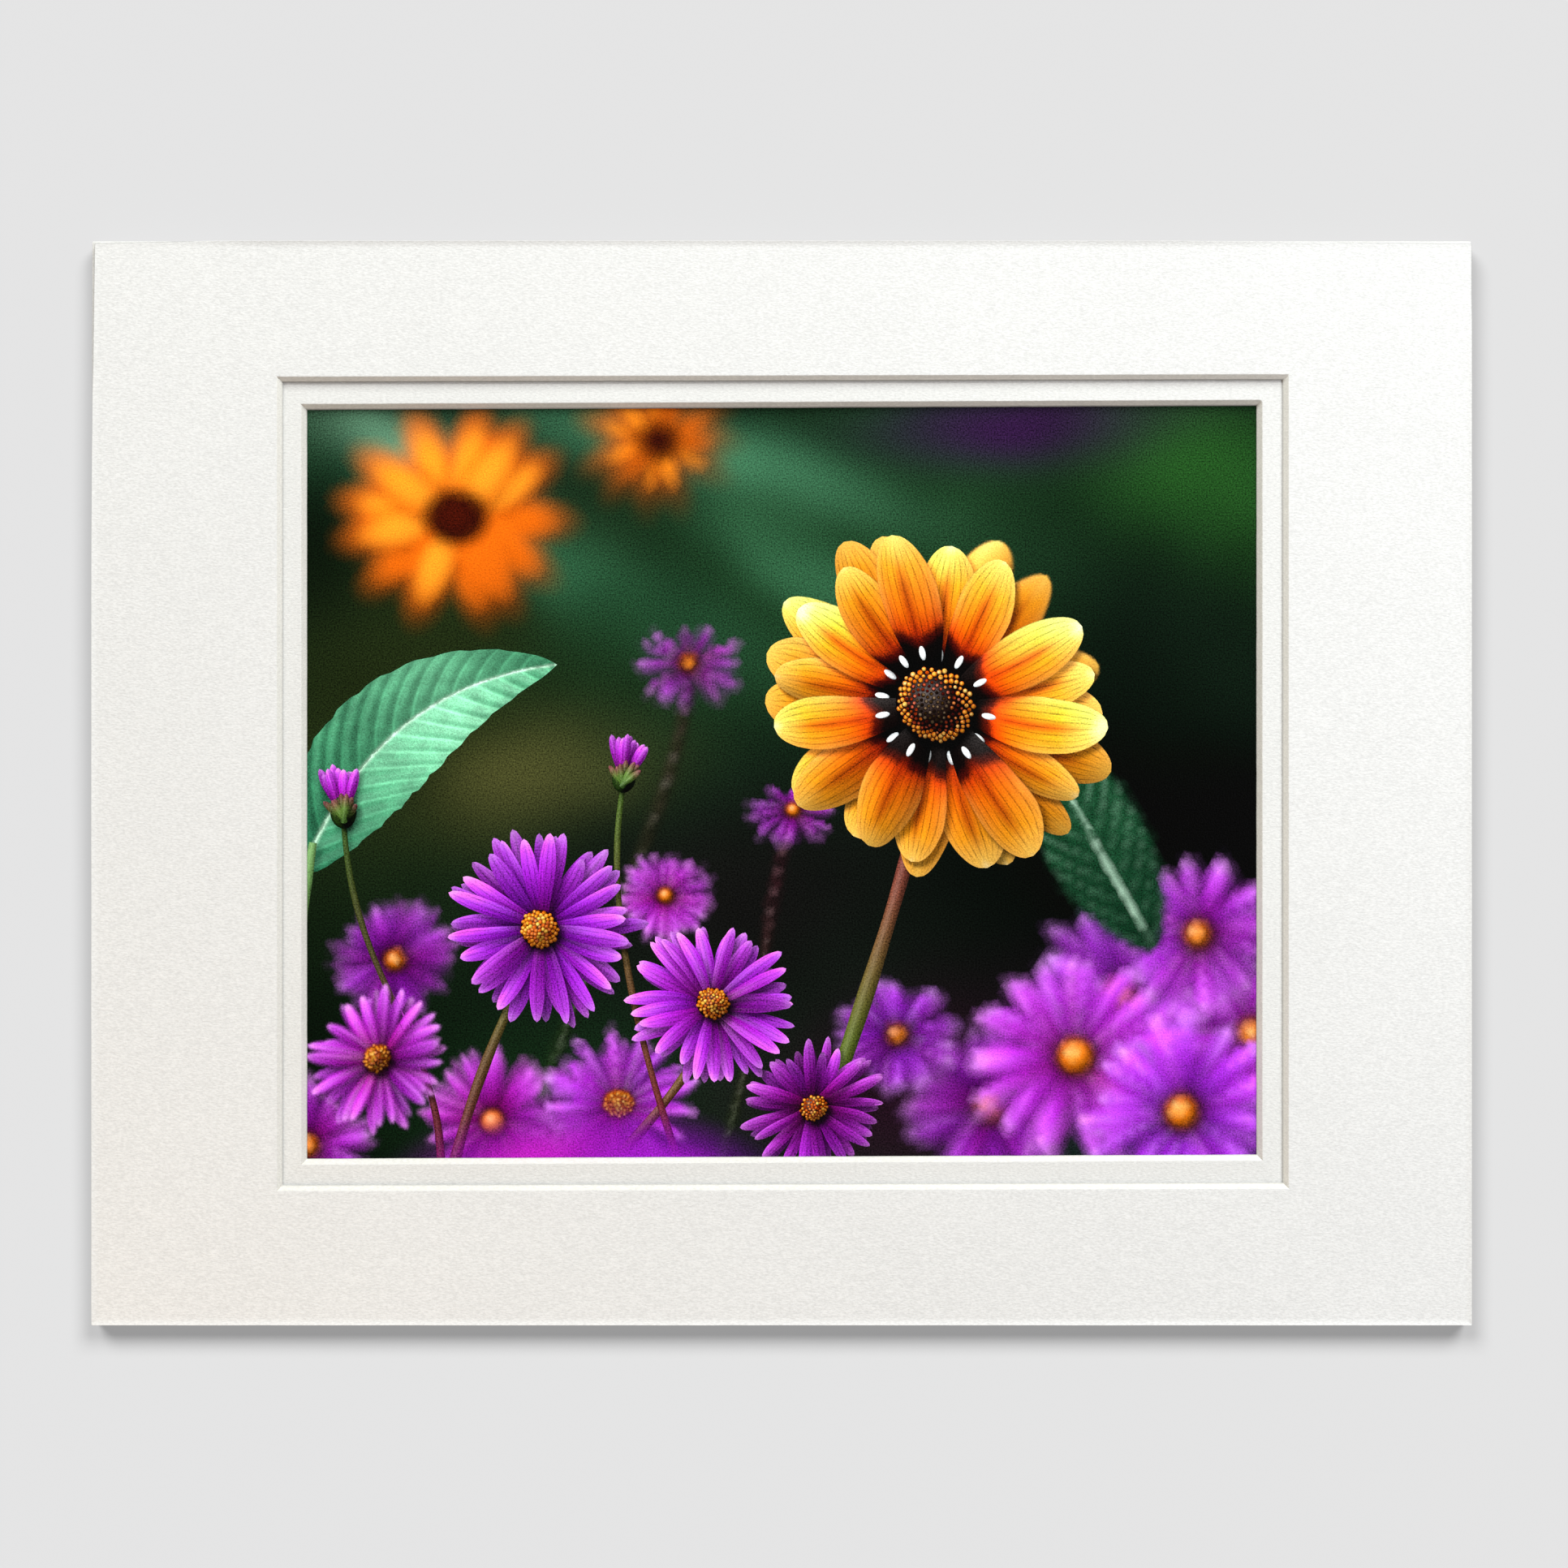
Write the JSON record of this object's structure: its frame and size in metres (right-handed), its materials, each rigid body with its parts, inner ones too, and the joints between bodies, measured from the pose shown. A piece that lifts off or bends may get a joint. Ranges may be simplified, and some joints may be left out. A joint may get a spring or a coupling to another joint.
{
  "type": "matted photographic print",
  "caption": "Photographic print behind a double window mat with bevelled openings, closed by a foam backing board, ready to drop into a picture frame.",
  "frame": {"origin": "middle of the underside of the backing board, where the stack rests on its back", "axes": "+X along the long side, +Y to the picture's top, +Z out of the picture towards the viewer"},
  "size_m": [0.3556, 0.2794, 0.0082],
  "materials": {
    "outer_mat_board": "matte, finely toothed white mat board with a white bevel-cut core",
    "inner_mat_board": "matte, finely toothed off-white mat board with a white bevel-cut core",
    "photo_paper": null,
    "foam_board": "smooth white paper liner over a foam core"
  },
  "bodies": {
    "root": {"backing_board": "foam_board", "photo_print": "photo_paper", "inner_mat": "inner_mat_board", "outer_mat": "outer_mat_board"}
  },
  "joints": []
}
